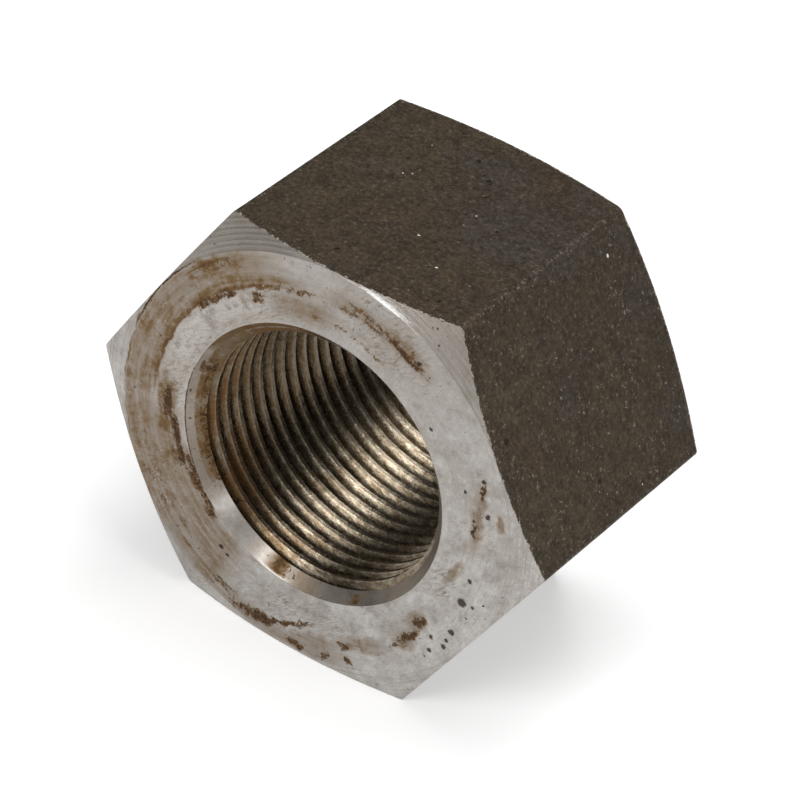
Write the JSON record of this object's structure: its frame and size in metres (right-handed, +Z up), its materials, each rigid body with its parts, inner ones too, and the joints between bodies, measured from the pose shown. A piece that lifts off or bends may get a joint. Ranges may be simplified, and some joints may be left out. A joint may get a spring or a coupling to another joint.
{
  "type": "hex nut",
  "caption": "Thick hexagonal steel nut with a through threaded bore, countersunk at each end, and turned chamfers on both faces.",
  "frame": {"origin": "middle of the nut, on the axis of the threaded bore, halfway between the two end faces", "axes": "+Z up, square to the flat opposite the one that the nut lies on; -Y out of the machined bearing face along the bore; +X towards the right-hand long edge as that face is looked at"},
  "size_m": [0.0864, 0.049, 0.075],
  "materials": {
    "nut_steel": "hot-forged flats in dark mill scale; turned bare steel on the end faces, chamfers, countersinks and thread, with rust stains"
  },
  "bodies": {
    "root": {"hex_nut": "nut_steel"}
  },
  "joints": []
}
